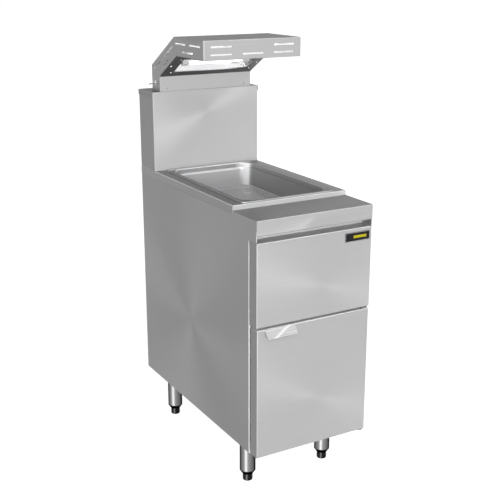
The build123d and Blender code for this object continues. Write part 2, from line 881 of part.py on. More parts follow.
# Gantry brackets: two angles on the cap, behind the base front
bracket_back = gantry_y + sheet
bracket_x = gantry_half - gantry_flange - fit - bracket_width / 2
with BuildPart() as gantry_brackets:
    with BuildSketch(Plane.XY.offset(splash_top)):
        with Locations(
            (-bracket_x, bracket_back + bracket_upstand / 2),
            (bracket_x, bracket_back + bracket_upstand / 2),
        ):
            Rectangle(bracket_width, bracket_upstand)
    extrude(amount=bracket_thickness)
    with BuildSketch(Plane.XY.offset(splash_top)):
        with Locations(
            (-bracket_x, bracket_back + bracket_thickness / 2),
            (bracket_x, bracket_back + bracket_thickness / 2),
        ):
            Rectangle(bracket_width, bracket_thickness)
    extrude(amount=bracket_upstand)
save(gantry_brackets, "gantry_brackets")


# Lamp troughs behind the openings: straight lips, tapered walls, a closed back and a flange
def trough_body(mouth, skin):
    """The trough's hollow as a closed body, drawn outwards by a skin."""
    size = (trough_length + 2 * skin, trough_width + 2 * skin)
    with BuildPart() as body:
        with BuildSketch(mouth.offset(sheet)):
            Rectangle(*size)
        extrude(amount=trough_lip - sheet)
        with BuildSketch(mouth.offset(trough_lip)):
            Rectangle(*size)
        extrude(amount=trough_depth - trough_lip + skin, taper=trough_taper)
    return body.part


def reflector(mouth):
    """One pressed lamp trough."""
    with BuildPart() as trough:
        with BuildSketch(mouth.offset(sheet)):
            Rectangle(trough_length + 2 * trough_flange, trough_width + 2 * trough_flange)
        extrude(amount=trough_sheet)
        add(trough_body(mouth, trough_sheet))
        add(trough_body(mouth, 0), mode=Mode.SUBTRACT)
    return trough


def lamp(mouth):
    """Quartz tube with a pin at each end."""
    axis = mouth.offset(lamp_depth)
    across = Plane(origin=axis.origin, x_dir=axis.z_dir, z_dir=axis.x_dir)
    with BuildPart() as tube:
        with BuildSketch(across):
            Circle(lamp_radius)
        extrude(amount=lamp_length / 2, both=True)
        with BuildSketch(across):
            Circle(lamp_pin_radius)
        extrude(amount=lamp_length / 2 + lamp_pin, both=True)
    return tube


def lamp_holders(mouth):
    """Pair of ceramic blocks on the trough's back, bored for the lamp's pins."""
    axis = mouth.offset(lamp_depth)
    across = Plane(origin=axis.origin, x_dir=axis.z_dir, z_dir=axis.x_dir)
    offset_x = (lamp_length + holder_length) / 2
    with BuildPart() as holders:
        with BuildSketch(mouth.offset(holder_front)):
            with Locations((-offset_x, 0), (offset_x, 0)):
                Rectangle(holder_length, holder_width)
        extrude(amount=trough_depth - holder_front)
        with BuildSketch(across):
            Circle(lamp_pin_radius + pin_play)
        extrude(amount=lamp_length / 2 + lamp_pin + fit, both=True, mode=Mode.SUBTRACT)
    return holders


for place, mouth_plane in (("slope", slope_mouth), ("hood", hood_mouth)):
    save(reflector(mouth_plane), f"{place}_reflector")
    save(lamp(mouth_plane), f"{place}_lamp")
    save(lamp_holders(mouth_plane), f"{place}_lamp_holders")

# Toggle switch through the left gantry side: body, threaded bush, nut and a ball-ended lever
lever_pivot = -gantry_half - switch_bush_reach / 2
switch_axis = Plane(
    origin=(-gantry_half, *switch_at),
    x_dir=(0, 1, 0),
    z_dir=(-1, 0, 0),
)
with BuildPart() as switch_body:
    with BuildSketch(switch_axis.offset(-sheet)):
        Rectangle(switch_body_width, switch_body_height)
    extrude(amount=-switch_body_depth)
    with BuildSketch(switch_axis.offset(-sheet)):
        Circle(switch_bush_radius)
    extrude(amount=sheet + switch_bush_reach)
    with BuildSketch(switch_axis.offset(switch_bush_reach / 2 - lever_ball - fit)):
        Circle(lever_ball + pin_play)
    extrude(amount=switch_bush_reach, mode=Mode.SUBTRACT)
    bore_mouth = switch_body.faces().sort_by(Axis.X)[0].inner_wires()[0]
    chamfer(bore_mouth.edges(), length=switch_bush_reach / 4, length2=sheet)
save(switch_body, "switch_body")

with BuildPart() as bush_nut:
    with BuildSketch(switch_axis):
        RegularPolygon(switch_nut, 6)
        Circle(switch_bush_radius + pin_play, mode=Mode.SUBTRACT)
    extrude(amount=switch_nut_thickness)
save(bush_nut, "switch_nut")

tilt = math.radians(lever_tilt)
lever_line = (-math.cos(tilt), 0, -math.sin(tilt))
lever_plane = Plane(origin=(lever_pivot, *switch_at), x_dir=lever_line, z_dir=(0, 1, 0))
with BuildPart() as switch_lever:
    with BuildSketch(lever_plane) as lever_half:
        with BuildLine():
            Polyline(
                (0, 0),
                (lever_reach, 0),
                (lever_reach, lever_tip),
                (0, lever_neck),
                close=True,
            )
        make_face()
        fillet(lever_half.vertices().sort_by(Axis.Y)[-1:], radius=lever_neck)
        Circle(lever_ball)
        Rectangle(2 * lever_ball, lever_ball, align=(Align.CENTER, Align.MAX), mode=Mode.SUBTRACT)
    revolve(axis=Axis((lever_pivot, *switch_at), lever_line))
save(switch_lever, "switch_lever")

# Wiring box at the cabinet's rear left, its lid, the gland under it and the conduit to the gantry
with BuildPart() as terminal_box:
    with BuildSketch(Plane.XY.offset(base_top)):
        with Locations((gland_x, gland_y)):
            RectangleRounded(box_width, box_depth, bend)
    extrude(amount=box_height)
    offset(amount=-box_sheet, openings=terminal_box.faces().sort_by(Axis.Z)[-1])
    with BuildSketch(Plane.XY.offset(base_top)):
        with Locations((gland_x, gland_y)):
            Circle(gland_radius + fit)
    extrude(amount=box_sheet, mode=Mode.SUBTRACT)
save(terminal_box, "terminal_box")

box_top = base_top + box_height
with BuildPart() as terminal_lid:
    with BuildSketch(Plane.XY.offset(box_top)):
        with Locations((gland_x, gland_y)):
            RectangleRounded(box_width, box_depth, bend)
        with Locations((-conduit_side, conduit_y)):
            Circle(conduit_radius + fit, mode=Mode.SUBTRACT)
    extrude(amount=box_sheet)
save(terminal_lid, "terminal_lid")

with BuildPart() as cable_gland:
    with BuildSketch(Plane.XY.offset(base_z - gland_length / 2)):
        with Locations((gland_x, gland_y)):
            Circle(gland_radius)
    extrude(amount=gland_length)
    with BuildSketch(Plane.XY.offset(base_z - gland_length / 2)):
        with Locations((gland_x, gland_y)):
            RegularPolygon(gland_radius + bush_wall, 6)
    extrude(amount=gland_length / 2)
    with BuildSketch(Plane.XY.offset(base_z - gland_length / 2)):
        with Locations((gland_x, gland_y)):
            Circle(gland_bore)
    extrude(amount=gland_length, mode=Mode.SUBTRACT)
save(cable_gland, "cable_gland")

with BuildPart() as lamp_conduit:
    with BuildSketch(Plane.XY.offset(box_top - conduit_rise)):
        with Locations((-conduit_side, conduit_y)):
            Circle(conduit_radius)
            Circle(conduit_radius - conduit_wall, mode=Mode.SUBTRACT)
    extrude(amount=splash_top + conduit_rise - box_top + conduit_rise)
save(lamp_conduit, "lamp_conduit")
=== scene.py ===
import math

import bmesh
import bpy
from mathutils import Matrix, Vector


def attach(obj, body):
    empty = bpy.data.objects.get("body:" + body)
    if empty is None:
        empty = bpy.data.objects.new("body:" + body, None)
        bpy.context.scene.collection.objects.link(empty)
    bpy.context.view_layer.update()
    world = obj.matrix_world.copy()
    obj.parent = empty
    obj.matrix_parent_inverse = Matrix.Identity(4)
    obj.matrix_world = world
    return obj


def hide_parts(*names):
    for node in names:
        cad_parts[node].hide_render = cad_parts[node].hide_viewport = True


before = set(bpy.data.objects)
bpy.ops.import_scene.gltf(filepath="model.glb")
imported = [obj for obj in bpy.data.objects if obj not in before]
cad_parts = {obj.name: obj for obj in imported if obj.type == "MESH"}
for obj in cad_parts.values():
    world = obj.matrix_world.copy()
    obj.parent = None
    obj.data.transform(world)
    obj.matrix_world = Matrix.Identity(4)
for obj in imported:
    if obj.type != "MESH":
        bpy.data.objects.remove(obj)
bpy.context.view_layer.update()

# Sizes shared with the CAD model, in metres. FRONT is the face of the fascia, panel and door
FRONT = -0.39075
REAR = FRONT + 0.8
CARCASS = FRONT + 0.045
DECK_HEIGHT = 0.915
SPLASH_TOP = 1.18

# Food pan and the perforated false bottom in it
PAN_CENTRE = FRONT + 0.411
PAN_FLOOR = 0.8192
INSERT_TOP = 0.8412
INSERT_WIDTH = 0.283816
INSERT_LENGTH = 0.488816
INSERT_CORNER = 0.0395
INSERT_LIP = 0.006
INSERT_SHEET = 0.0008
INSERT_BEND = 0.0025
HOLE_RADIUS = 0.0036
HOLE_PITCH = 0.01
HOLE_MARGIN = 0.0075
HOLE_SIDES = 12

# Lamp gantry: the knee is where its slope begins, the elbow is where its hood begins
GANTRY_Y = REAR - 0.1117
GANTRY_HALF = 0.172
GANTRY_THICKNESS = 0.06
GANTRY_SHEET = 0.0006
CRANK = math.radians(30)
SLOPE = 0.153
HOOD = 0.188
KNEE_Z = SPLASH_TOP + 0.0495
ELBOW_Y = GANTRY_Y - SLOPE * math.cos(CRANK)
ELBOW_Z = KNEE_Z + SLOPE * math.sin(CRANK)
HOOD_MIDDLE = ELBOW_Y - HOOD / 2
HOOD_FRONT = ELBOW_Y - HOOD
LAMP_OFFSET = 0.0045
TROUGH_HALF = 0.1375
SLOPE_FACING = (0.0, -math.sin(CRANK), -math.cos(CRANK))

# Badge plate, and the plain stripe on it
BADGE = (0.147, 0.8085)
BADGE_SIZE = (0.09, 0.029)
BADGE_THICKNESS = 0.0015
BADGE_CORNER = 0.0024
STRIPE_X = BADGE[0] + 0.008
STRIPE_HALF = (0.0235, 0.0042)

# Camera, fitted to the photograph's edges
LENS = 67.49
SENSOR_WIDTH = 36.0
VIEW_REACH = 50.0
CAMERA_PLACE = (-1.4629, -2.1730 + FRONT, 1.5776)
CAMERA_AZIMUTH = 29.7345
CAMERA_ELEVATION = 16.8257

# Sides of the round shapes made here
ROUND_STEPS = 24
CORNER_STEPS = 8

# Shared by the materials: the usual range of noise, how far it sways cloud tones and roughness
NOISE_RANGE = (0.3, 0.7)
CLOUD_REACH = 0.02
GLOSS_REACH = 0.05
BUMP_DISTANCE = 0.001
# Tone of the painted highlight on folds
FOLD_HIGHLIGHT_TONE = 0.95
BLUE_SHARE = 1.01
WHITE = (1.0, 1.0, 1.0, 1.0)

# Limits that pick out the folds and upright corners that get a painted highlight, the undersides that
# get none, and the faces towards a direction that get a painted tone of their own
FOLD_LIMITS = (0.9, 0.6)
CORNER_LIMITS = (0.14, 0.22)
UNDERSIDE = -0.15
TOWARDS = 0.97

# Powers that shape the wide and the narrow part of a painted highlight band
WIDE_POWER = 1.5
NARROW_POWER = 60.0


# Direction of a look along an azimuth, turned to the right from +Y, and down by an elevation
def direction(azimuth, elevation):
    turn = math.radians(azimuth)
    tilt = math.radians(elevation)
    level = math.cos(tilt)
    return Vector((math.sin(turn) * level, math.cos(turn) * level, -math.sin(tilt)))


def add_object(name, data, place=(0, 0, 0), towards=None):
    made = bpy.data.objects.new(name, data)
    made.location = place
    if towards:
        made.rotation_mode = "QUATERNION"
        made.rotation_quaternion = Vector(towards).to_track_quat("-Z", "Y")
    bpy.context.scene.collection.objects.link(made)
    return made


def add_camera():
    data = bpy.data.cameras.new("camera")
    data.sensor_width = SENSOR_WIDTH
    data.lens = LENS
    data.clip_end = VIEW_REACH
    return add_object("camera", data, CAMERA_PLACE, direction(CAMERA_AZIMUTH, CAMERA_ELEVATION))


bpy.context.scene.camera = add_camera()
bpy.context.scene.view_settings.view_transform = "Standard"


# Node helpers
def tree_of(name):
    material = bpy.data.materials.new(name)
    material.use_nodes = True
    tree = material.node_tree
    tree.nodes.clear()
    return material, tree


def node(tree, kind, inputs=None, **settings):
    made = tree.nodes.new(kind)
    for key, value in settings.items():
        setattr(made, key, value)
    for key, value in (inputs or {}).items():
        if isinstance(value, bpy.types.NodeSocket):
            tree.links.new(value, made.inputs[key])
        else:
            made.inputs[key].default_value = value
    return made


def math_node(tree, operation, a, b=0.0):
    return node(tree, "ShaderNodeMath", {0: a, 1: b}, operation=operation).outputs[0]


def vector_node(tree, operation, a, b):
    return node(tree, "ShaderNodeVectorMath", {0: a, 1: b}, operation=operation)


def dot(tree, a, b):
    return vector_node(tree, "DOT_PRODUCT", a, b).outputs["Value"]


def parts_of(tree, vector):
    return node(tree, "ShaderNodeSeparateXYZ", {0: vector}).outputs


def remap(tree, value, low, high, to_low, to_high):
    made = node(
        tree,
        "ShaderNodeMapRange",
        {"Value": value, "From Min": low, "From Max": high, "To Min": to_low, "To Max": to_high},
    )
    return made.outputs["Result"]


# Noise spread evenly about a middle value, by a given reach to each side
def spread(tree, grains, middle, reach):
    return remap(tree, grains, *NOISE_RANGE, middle - reach, middle + reach)


def blend(tree, share, first, second):
    return node(tree, "ShaderNodeMix", {"Factor": share, "A": first, "B": second}).outputs["Result"]


def mix_colours(tree, share, first, second, **settings):
    inputs = {"Factor": share, "A": first, "B": second}
    return node(tree, "ShaderNodeMix", inputs, data_type="RGBA", **settings).outputs["Result"]


def output(tree, surface):
    node(tree, "ShaderNodeOutputMaterial", {"Surface": surface})


def object_place(tree):
    return node(tree, "ShaderNodeTexCoord").outputs["Object"]


def stretched(tree, scale):
    return node(tree, "ShaderNodeMapping", {"Vector": object_place(tree), "Scale": scale}).outputs[0]


def noise(tree, vector, scale, detail=3.0, roughness=0.5):
    made = node(
        tree,
        "ShaderNodeTexNoise",
        {"Vector": vector, "Scale": scale, "Detail": detail, "Roughness": roughness},
    )
    return made.outputs["Fac"]


def bumps(tree, height, strength):
    inputs = {"Height": height, "Strength": strength, "Distance": BUMP_DISTANCE}
    return node(tree, "ShaderNodeBump", inputs).outputs[0]


# Direction round an axis through a centre, for the sheen of brushed steel
def swirl(tree, place, axis, centre):
    arm = vector_node(tree, "SUBTRACT", place, centre).outputs[0]
    around = vector_node(tree, "CROSS_PRODUCT", axis, arm).outputs[0]
    turned = node(
        tree,
        "ShaderNodeVectorTransform",
        {0: around},
        vector_type="VECTOR",
        convert_from="OBJECT",
        convert_to="WORLD",
    )
    return turned.outputs[0]


# Share of a surface that lies inside a box of the given ranges
def inside(tree, place, ranges):
    parts = parts_of(tree, place)
    share = 1.0
    for axis, (low, high) in ranges.items():
        above = math_node(tree, "GREATER_THAN", parts[axis], low)
        below = math_node(tree, "LESS_THAN", parts[axis], high)
        share = math_node(tree, "MULTIPLY", share, math_node(tree, "MULTIPLY", above, below))
    return share


# Share of a surface that gets a painted fold highlight: neither flat along an axis nor facing down, below
# a level
def fold_highlight_share(tree, place, normal, squared, strength, level):
    flatness = dot(tree, squared, squared)
    fold_lit = remap(tree, flatness, *FOLD_LIMITS, 0.0, strength)
    upward = math_node(tree, "GREATER_THAN", parts_of(tree, normal)["Z"], UNDERSIDE)
    below = math_node(tree, "LESS_THAN", parts_of(tree, place)["Z"], level)
    return math_node(tree, "MULTIPLY", math_node(tree, "MULTIPLY", fold_lit, upward), below)


# Share of a surface that gets a painted highlight: an upright rounded corner
def corner_highlight_share(tree, squared, strength):
    parts = parts_of(tree, squared)
    upright = math_node(tree, "MULTIPLY", parts["X"], parts["Y"])
    return remap(tree, upright, *CORNER_LIMITS, 0.0, strength)


# Added tone of a painted highlight band on a round piece, wide and faint with a narrow middle
def band_highlight_tone(tree, normal, towards, wide, narrow):
    facing = math_node(tree, "ABSOLUTE", dot(tree, normal, towards))
    wide_part = math_node(tree, "MULTIPLY", math_node(tree, "POWER", facing, WIDE_POWER), wide)
    narrow_part = math_node(tree, "MULTIPLY", math_node(tree, "POWER", facing, NARROW_POWER), narrow)
    return math_node(tree, "ADD", wide_part, narrow_part)


# Share of a surface that lies near a slanting line, where a highlight is painted
def slash_highlight_share(tree, place, middle, lean, width):
    arm = vector_node(tree, "SUBTRACT", place, middle).outputs[0]
    off = math_node(tree, "ABSOLUTE", dot(tree, arm, lean))
    return remap(tree, off, 0.0, width, 1.0, 0.0)


# Brushed steel: long fine scratches along one direction, faint clouds, painted highlights on folds,
# and a sheen round an axis (spin). The tones are painted shade: faces that look along X, Y and Z get
# lighter or darker colours for how the light falls on them. Corners gives upright rounded corners a
# painted highlight. The glint, a painted highlight band, is a direction, then the wide and the narrow
# strength of the band on the faces that look along it, either way. The backs, faces towards a
# direction, are painted light with their own tone. The slash is a painted highlight along a slanting
# line. Marks are boxes with a tone of their own, for painted shade and highlights.
def steel(
    name,
    facing_shades,
    grain,
    metallic=0.35,
    roughness=0.34,
    anisotropic=0.0,
    spin=None,
    turn=0.0,
    streak=0.04,
    bump=0.02,
    fold_highlights=0.0,
    fold_highlights_below=10.0,
    corners=0.0,
    specular=0.5,
    grazing=1.0,
    marks=(),
    highlight_band=None,
    lit_backs=None,
    highlight_slash=None,
):
    material, tree = tree_of(name)
    coords = node(tree, "ShaderNodeTexCoord")
    place = coords.outputs["Object"]
    normal = coords.outputs["Normal"]
    squared = vector_node(tree, "MULTIPLY", normal, normal).outputs[0]
    painted_shade = dot(tree, squared, facing_shades)
    if fold_highlights:
        fold_lit = fold_highlight_share(tree, place, normal, squared, fold_highlights, fold_highlights_below)
        painted_shade = blend(tree, fold_lit, painted_shade, FOLD_HIGHLIGHT_TONE)
        metallic = blend(tree, fold_lit, metallic, 1.0)
    if corners:
        corner_lit = corner_highlight_share(tree, squared, corners)
        painted_shade = blend(tree, corner_lit, painted_shade, 1.0)
        metallic = blend(tree, corner_lit, metallic, 0.0)
    if highlight_band:
        painted_shade = math_node(tree, "ADD", painted_shade, band_highlight_tone(tree, normal, *highlight_band))
    if lit_backs:
        facing, back_light_tone = lit_backs
        behind = math_node(tree, "GREATER_THAN", dot(tree, normal, facing), TOWARDS)
        painted_shade = blend(tree, behind, painted_shade, back_light_tone)
    if highlight_slash:
        painted_shade = blend(tree, slash_highlight_share(tree, place, *highlight_slash), painted_shade, 1.0)
    for ranges, mark_tone in marks:
        painted_shade = blend(tree, inside(tree, place, ranges), painted_shade, mark_tone)
    scratches = noise(tree, stretched(tree, grain), 1.0, 4.0, 0.65)
    clouds = noise(tree, stretched(tree, CLOUDS), 1.0, 2.0)
    variation = math_node(
        tree, "ADD", spread(tree, scratches, 1.0, streak), spread(tree, clouds, 0.0, CLOUD_REACH)
    )
    shade = math_node(tree, "MULTIPLY", painted_shade, variation)
    blue = math_node(tree, "MULTIPLY", shade, BLUE_SHARE)
    colour = node(tree, "ShaderNodeCombineColor", {"Red": shade, "Green": shade, "Blue": blue})
    inputs = {
        "Base Color": colour.outputs[0],
        "Metallic": metallic,
        "Roughness": spread(tree, scratches, roughness, GLOSS_REACH),
        "Specular IOR Level": specular,
        "Specular Tint": (grazing, grazing, grazing, 1.0),
        "Normal": bumps(tree, scratches, bump),
    }
    if spin:
        inputs["Anisotropic"] = anisotropic
        inputs["Anisotropic Rotation"] = turn
        inputs["Tangent"] = swirl(tree, place, *spin)
    output(tree, node(tree, "ShaderNodeBsdfPrincipled", inputs).outputs[0])
    return material


# Scales of the scratches along X, along Y and with no direction, of the clouds, and the sheen axes
GRAIN_X = (6.0, 900.0, 900.0)
GRAIN_Y = (900.0, 6.0, 900.0)
GRAIN_EVEN = (400.0, 400.0, 400.0)
CLOUDS = (3.0, 3.0, 3.0)
AXIS_X = (1.0, 0.0, 0.0)
AXIS_Y = (0.0, 1.0, 0.0)


# Front sheets: the fixed panel and the door, each with its own sheen about a centre (X, Z)
def front_sheet(name, centre, marks=()):
    return steel(
        name,
        (0.245, 0.525, 0.5),
        GRAIN_X,
        metallic=0.3,
        roughness=0.33,
        anisotropic=0.74,
        spin=(AXIS_Y, (centre[0], FRONT, centre[1])),
        turn=0.209,
        fold_highlights=0.6,
        marks=marks,
    )


# Painted highlight along the door's top edge
DOOR_TOP_HIGHLIGHT = {"Z": (0.5716, 0.573)}
panel_steel = front_sheet("panel_steel", (0.0254, 0.6724))
door_steel = front_sheet("door_steel", (0.0215, 0.3113), ((DOOR_TOP_HIGHLIGHT, 0.95),))

# Splash box and its cap
splash_steel = steel(
    "splash_steel",
    (0.285, 0.575, 0.32),
    GRAIN_X,
    metallic=0.055,
    roughness=0.4,
    anisotropic=0.84,
    spin=(AXIS_Y, (0.0, 0.294, 1.104)),
    turn=0.125,
    fold_highlights=0.35,
)
cap_steel = steel("cap_steel", (0.3, 0.5, 0.13), GRAIN_X, fold_highlights=0.3, specular=0.1, grazing=0.3)

# Ledge, with a painted shadow line where the fascia is folded under
FASCIA_SHADOW_LINE = {"Y": (FRONT - 0.001, FRONT + 0.0005), "Z": (0.853, 0.8562)}
ledge_steel = steel(
    "ledge_steel",
    (0.3, 0.51, 0.24),
    GRAIN_X,
    metallic=0.3,
    roughness=0.35,
    anisotropic=0.8,
    spin=(AXIS_Y, (-0.003, FRONT, 0.8932)),
    turn=0.1,
    fold_highlights=0.45,
    marks=((FASCIA_SHADOW_LINE, 0.3),),
)

# Side panels, with the left one's front flange beside the door and the panel painted light, though it
# lies in shade
SIDE_FLANGE_LIGHT = {"X": (-0.201, -0.18), "Y": (CARCASS - 0.001, CARCASS + 0.0012), "Z": (0.15, 0.827)}
side_steel = steel(
    "side_steel",
    (0.3, 0.5, 0.32),
    GRAIN_Y,
    metallic=0.35,
    roughness=0.43,
    anisotropic=0.82,
    spin=(AXIS_X, (0.0, 0.0365, 0.4649)),
    turn=0.365,
    fold_highlights=0.6,
    fold_highlights_below=0.87,
    marks=((SIDE_FLANGE_LIGHT, 0.85),),
)

# Deck, hidden sheets, rails painted light against the shade of the gaps they sit in, and the door's pull
deck_steel = steel("deck_steel", (0.26, 0.72, 0.165), GRAIN_X, fold_highlights=0.4, specular=0.4)
plain_steel = steel("plain_steel", (0.34, 0.6, 0.26), GRAIN_X, fold_highlights=0.4)
rail_steel = steel("rail_steel", (0.5, 0.95, 0.6), GRAIN_X)
# Painted highlight along a slanting line across the pull
PULL_HIGHLIGHT_MIDDLE = (-0.1212, 0.0, 0.5575)
PULL_HIGHLIGHT_LEAN = (0.364, 0.0, -0.931)
pull_steel = steel(
    "pull_steel",
    (0.5, 0.66, 0.55),
    GRAIN_X,
    roughness=0.25,
    highlight_slash=(PULL_HIGHLIGHT_MIDDLE, PULL_HIGHLIGHT_LEAN, 0.0045),
)

# Gantry: painted light inside its sides and on the inner face of the cover's slope, a painted
# highlight on the left edge of the hood's front, and painted shade on the lining above the knee
GANTRY_INSIDE_LIGHT = {"X": (GANTRY_SHEET - GANTRY_HALF, GANTRY_HALF - GANTRY_SHEET)}
HOOD_EDGE_HIGHLIGHT = {"X": (-0.1725, -0.1665), "Y": (HOOD_FRONT - 0.001, HOOD_FRONT + 0.003)}
LINING_SLOPE_SHADE = {"Z": (KNEE_Z + 0.0003, 2.0)}
crank_steel = steel(
    "crank_steel", (0.27, 0.52, 0.32), GRAIN_Y, fold_highlights=0.3, marks=((GANTRY_INSIDE_LIGHT, 0.95),)
)
cover_steel = steel(
    "cover_steel",
    (0.34, 0.52, 0.14),
    GRAIN_X,
    fold_highlights=0.5,
    specular=0.1,
    grazing=0.3,
    lit_backs=(SLOPE_FACING, 0.95),
    marks=((HOOD_EDGE_HIGHLIGHT, 0.64),),
)
lining_steel = steel("lining_steel", (0.34, 0.5, 0.3), GRAIN_X, marks=((LINING_SLOPE_SHADE, 0.05),))

# Pan: painted shade under the false bottom, and at the back a painted highlight on the ledge and rim
# with painted shade on the wall between; its upright corners get a painted highlight
PAN_BOTTOM_SHADE = {"Z": (0.8, 0.828)}
REAR_LEDGE_HIGHLIGHT = {"Y": (PAN_CENTRE + 0.236, 1.0), "Z": (0.895, 0.9016)}
REAR_RIM_HIGHLIGHT = {"Y": (PAN_CENTRE + 0.244, 1.0), "Z": (DECK_HEIGHT + 0.0005, 1.0)}
REAR_WALL_SHADE = {
    "X": (-0.2, 0.1),
    "Y": (PAN_CENTRE + 0.236, PAN_CENTRE + 0.26),
    "Z": (0.9016, DECK_HEIGHT - 0.0005),
}
pan_steel = steel(
    "pan_steel",
    (0.33, 0.62, 0.22),
    GRAIN_Y,
    metallic=0.25,
    roughness=0.35,
    streak=0.01,
    bump=0.0,
    fold_highlights=0.3,
    corners=1.0,
    specular=0.3,
    grazing=0.5,
    marks=((PAN_BOTTOM_SHADE, 0.1), (REAR_LEDGE_HIGHLIGHT, 1.0), (REAR_RIM_HIGHLIGHT, 0.75), (REAR_WALL_SHADE, 0.42)),
)
insert_steel = steel(
    "insert_steel",
    (0.3, 0.4, 0.95),
    GRAIN_EVEN,
    metallic=0.3,
    roughness=0.45,
    streak=0.01,
    specular=0.3,
)

# Legs: polished tubes with a painted highlight band and a painted dark reflection on the shoulder,
# and black feet with a faint painted highlight band
TUBE_HIGHLIGHT_FACING = (-0.66, -0.751, 0.0)
SHOULDER_DARK_REFLECTION = {"Z": (0.02, 0.0385)}
leg_steel = steel(
    "leg_steel",
    (0.03, 0.03, 0.03),
    GRAIN_X,
    metallic=1.0,
    roughness=0.3,
    grazing=0.0,
    highlight_band=(TUBE_HIGHLIGHT_FACING, 0.2, 0.6),
    marks=((SHOULDER_DARK_REFLECTION, 0.012),),
)
foot_plastic = steel(
    "foot_plastic",
    (0.004, 0.004, 0.004),
    GRAIN_EVEN,
    metallic=0.0,
    roughness=0.4,
    specular=0.1,
    grazing=0.1,
    highlight_band=(TUBE_HIGHLIGHT_FACING, 0.012, 0.24),
)

# Small metal pieces and the reflectors
dull_steel = steel("dull_steel", (0.35, 0.35, 0.35), GRAIN_EVEN, metallic=0.5, roughness=0.45)
bright_steel = steel(
    "bright_steel",
    (0.2, 0.95, 0.95),
    GRAIN_X,
    metallic=1.0,
    roughness=0.2,
    streak=0.01,
    bump=0.0,
    grazing=0.6,
)
satin_steel = steel(
    "satin_steel", (0.9, 0.9, 0.9), GRAIN_X, metallic=0.6, roughness=0.4, streak=0.02
)
chrome = steel(
    "chrome", (0.5, 0.5, 0.5), GRAIN_EVEN, metallic=0.9, roughness=0.15, streak=0.02
)
nut_chrome = steel(
    "nut_chrome", (0.95, 0.95, 0.95), GRAIN_EVEN, metallic=0.5, roughness=0.2, streak=0.02
)


# Moulded pieces: one colour with a fine speckle
def moulded(name, colour, roughness):
    material, tree = tree_of(name)
    grains = noise(tree, object_place(tree), 900.0)
    speckle = spread(tree, grains, 1.0, 0.06)
    inputs = {
        "Base Color": mix_colours(tree, 1.0, (*colour, 1.0), speckle, blend_type="MULTIPLY"),
        "Roughness": spread(tree, grains, roughness, GLOSS_REACH),
        "Normal": bumps(tree, grains, 0.04),
    }
    output(tree, node(tree, "ShaderNodeBsdfPrincipled", inputs).outputs[0])
    return material


black_plastic = moulded("black_plastic", (0.03, 0.03, 0.03), 0.45)
grey_plastic = moulded("grey_plastic", (0.4, 0.41, 0.42), 0.5)
black_rubber = moulded("black_rubber", (0.02, 0.02, 0.02), 0.7)
ceramic = moulded("ceramic", (0.92, 0.92, 0.91), 0.6)


# Toggle switch: nickel bush outside the gantry's side, black case inside it
def switch_finish():
    material, tree = tree_of("switch_case")
    outside = math_node(tree, "LESS_THAN", parts_of(tree, object_place(tree))["X"], -GANTRY_HALF)
    grains = noise(tree, stretched(tree, GRAIN_EVEN), 1.0)
    black = (0.03, 0.03, 0.03, 1.0)
    nickel = (0.6, 0.6, 0.61, 1.0)
    inputs = {
        "Base Color": mix_colours(tree, outside, black, nickel),
        "Metallic": outside,
        "Roughness": spread(tree, grains, 0.25, GLOSS_REACH),
    }
    output(tree, node(tree, "ShaderNodeBsdfPrincipled", inputs).outputs[0])
    return material


# Badge: dark satin print with one plain yellow stripe, each with a fine grain
def badge_print():
    material, tree = tree_of("badge_face")
    parts = parts_of(tree, object_place(tree))
    grains = noise(tree, object_place(tree), 1500.0)
    across = math_node(tree, "ABSOLUTE", math_node(tree, "SUBTRACT", parts["X"], STRIPE_X))
    up = math_node(tree, "ABSOLUTE", math_node(tree, "SUBTRACT", parts["Z"], BADGE[1]))
    near_across = math_node(tree, "LESS_THAN", across, STRIPE_HALF[0])
    near_up = math_node(tree, "LESS_THAN", up, STRIPE_HALF[1])
    striped = math_node(tree, "MULTIPLY", near_across, near_up)
    dark = (0.012, 0.012, 0.015, 1.0)
    yellow = (0.6, 0.52, 0.02, 1.0)
    colour = mix_colours(tree, striped, dark, yellow)
    speckle = spread(tree, grains, 1.0, 0.08)
    inputs = {
        "Base Color": mix_colours(tree, 1.0, colour, speckle, blend_type="MULTIPLY"),
        "Roughness": spread(tree, grains, 0.35, GLOSS_REACH),
        "Specular IOR Level": 0.15,
        "Normal": bumps(tree, grains, 0.03),
    }
    output(tree, node(tree, "ShaderNodeBsdfPrincipled", inputs).outputs[0])
    return material


# Lamp tubes: frosted quartz with a glow
def quartz():
    material, tree = tree_of("quartz")
    frost = noise(tree, object_place(tree), 220.0)
    inputs = {
        "Base Color": mix_colours(tree, frost, (0.92, 0.92, 0.91, 1.0), (0.99, 0.99, 0.98, 1.0)),
        "Roughness": remap(tree, frost, *NOISE_RANGE, 0.2, 0.35),
        "Transmission Weight": 0.25,
        "IOR": 1.46,
        "Emission Color": WHITE,
        "Emission Strength": 0.6,
    }
    output(tree, node(tree, "ShaderNodeBsdfPrincipled", inputs).outputs[0])
    return material


switch_case = switch_finish()
badge_face = badge_print()
lamp_quartz = quartz()


# Materials on all the CAD nodes, also on the one that a new piece replaces
def dress(material, *names):
    for name in names:
        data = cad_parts[name].data
        data.materials.clear()
        data.materials.append(material)


def dress_legs(material, piece):
    dress(material, *[f"{piece}_{end}_{side}" for end in ("front", "rear") for side in ("left", "right")])


